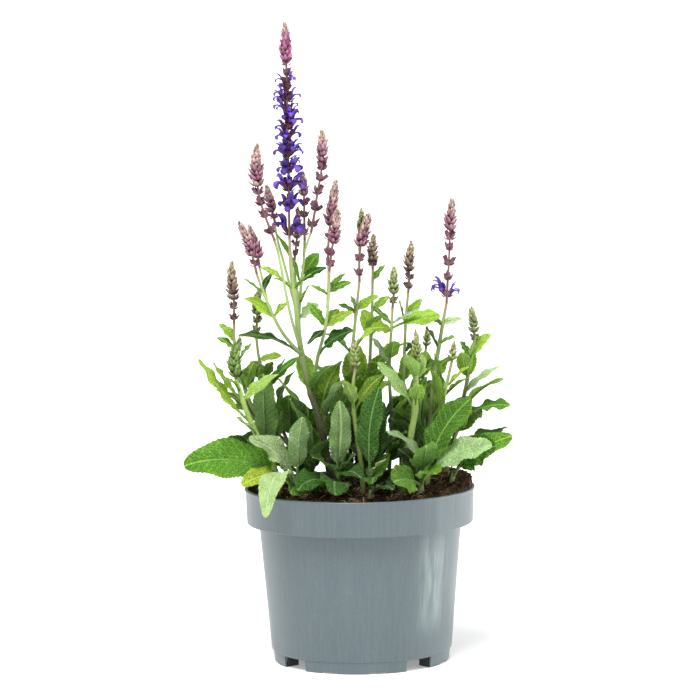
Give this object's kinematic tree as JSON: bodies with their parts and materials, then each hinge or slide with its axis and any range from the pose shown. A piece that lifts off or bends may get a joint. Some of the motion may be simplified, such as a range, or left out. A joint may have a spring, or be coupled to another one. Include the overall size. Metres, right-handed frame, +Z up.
{
  "type": "potted perennial salvia",
  "caption": "Perennial salvia in flower: upright violet and pink flower spikes over a bush of crinkled green leaves, rooted in soil in a ribless round plastic nursery pot.",
  "frame": {"origin": "middle of the pot's underside, on the surface where it stands", "axes": "+Z up along the pot's axis, -Y towards the front of the plant, +X to the right"},
  "size_m": [0.2433, 0.2059, 0.472],
  "materials": {
    "pot_plastic": "blue-grey injection-moulded plastic, faint vertical grain",
    "potting_soil": "dark moist peat with light root and bark fibres",
    "leafy_stem": "square pale green stems, downy, with crinkled green leaves",
    "ground_leaves": "mid to dark green, net-veined and matt, paler below",
    "open_flowers": "violet-blue petals over maroon calyces",
    "pink_bracts": "pink-mauve bracts, cream at the tip",
    "flower_spike": "dusty pink and maroon bracts with cream edges",
    "young_bud": "green buds flushed pink"
  },
  "bodies": {
    "root": {"pot": "pot_plastic", "soil": "potting_soil", "stem_main": "leafy_stem", "stem_centre": "leafy_stem", "stem_back": "leafy_stem", "stem_right_inner": "leafy_stem", "stem_middle": "leafy_stem", "stem_right_tall": "leafy_stem", "stem_far_right": "leafy_stem", "stem_left": "leafy_stem", "stem_left_back": "leafy_stem", "stem_left_low": "leafy_stem", "stem_front_young": "leafy_stem", "stem_right_young": "leafy_stem", "stem_right_leafy": "leafy_stem", "stem_back_leafy": "leafy_stem", "leaves_left": "ground_leaves", "leaves_front_left": "ground_leaves", "leaves_front": "ground_leaves", "leaves_front_middle": "ground_leaves", "leaves_front_right": "ground_leaves", "leaves_right": "ground_leaves", "leaves_inner_left": "ground_leaves", "leaves_inner_middle": "ground_leaves", "leaves_inner_right": "ground_leaves", "leaves_back_right": "ground_leaves", "leaves_back": "ground_leaves", "leaves_back_left": "ground_leaves", "spike_main": "open_flowers", "spike_main_tip": "pink_bracts", "spike_left_tall": "flower_spike", "spike_left_behind": "flower_spike", "spike_right_pale": "flower_spike", "spike_right_tall": "flower_spike", "spike_behind_small": "flower_spike", "spike_low_left": "flower_spike", "spike_low_left_side": "flower_spike", "spike_low_right": "flower_spike", "spike_low_right_tall": "flower_spike", "spike_centre": "flower_spike", "spike_centre_side": "flower_spike", "spike_back": "flower_spike", "spike_right_inner": "flower_spike", "spike_middle": "flower_spike", "spike_far_tall": "flower_spike", "spike_far_right": "flower_spike", "spike_left": "flower_spike", "spike_left_back": "flower_spike", "bud_left_low": "young_bud", "bud_front_young": "young_bud", "bud_right_young": "young_bud", "bud_back_leafy": "young_bud", "bud_right_leafy": "young_bud"}
  },
  "joints": []
}
